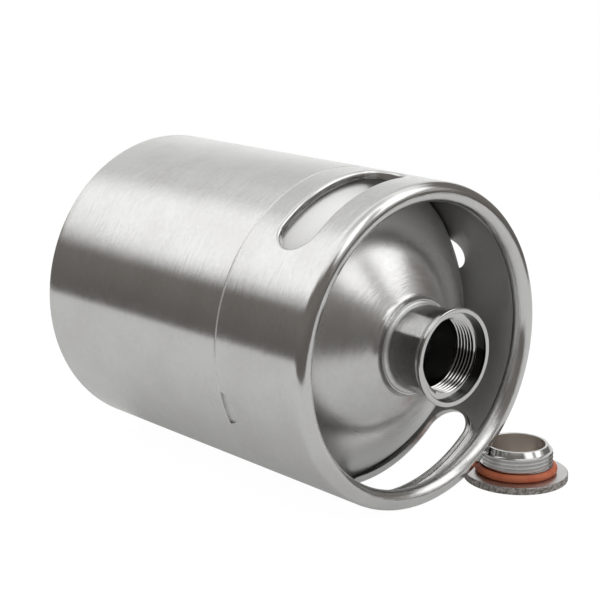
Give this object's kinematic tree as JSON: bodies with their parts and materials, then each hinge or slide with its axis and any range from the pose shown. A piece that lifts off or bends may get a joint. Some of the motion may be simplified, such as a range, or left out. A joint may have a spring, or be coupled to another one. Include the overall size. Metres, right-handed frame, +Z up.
{
  "type": "mini keg",
  "caption": "Steel mini keg lying on its side, with a handle ring pierced for the hands, a domed head, a threaded neck, and a screw cap with a seal ring beside it.",
  "frame": {"origin": "on the floor, in the middle of the footprint of the lying keg and its cap", "axes": "+X along the keg's axis towards its mouth, +Z up from the floor, +Y to the side on which the cap stands"},
  "size_m": [0.233, 0.175, 0.162],
  "materials": {
    "brushed_sheet": "satin stainless steel, brushed round the axis",
    "satin_sheet": "satin spun stainless steel",
    "weld_metal": "ground and polished weld",
    "turned_steel": "turned and polished stainless steel",
    "cap_steel": "turned stainless steel with a matt cast disc",
    "silicone": "matt orange-red silicone"
  },
  "bodies": {
    "keg": {"body_shell": "brushed_sheet", "bottom_head": "brushed_sheet", "bottom_weld": "weld_metal", "top_head": "satin_sheet", "seam_weld": "weld_metal", "handle_ring": "brushed_sheet", "neck_fitting": "turned_steel", "neck_weld": "weld_metal"},
    "seal": {"cap_seal": "silicone"},
    "cap": {"screw_cap": "cap_steel"}
  },
  "joints": [
    {"name": "cap_carry", "type": "hinge", "parent": "keg", "child": "seal", "pos_m": [0.09211, 0.01113, 0.03475], "axis": [0.6419, -0.4194, -0.6419], "range_deg": [0, 134.5]},
    {"name": "cap_turn", "type": "hinge", "parent": "seal", "child": "cap", "pos_m": [0.08965, 0.06055, 0], "axis": [0, 0, 1], "continuous": true}
  ]
}
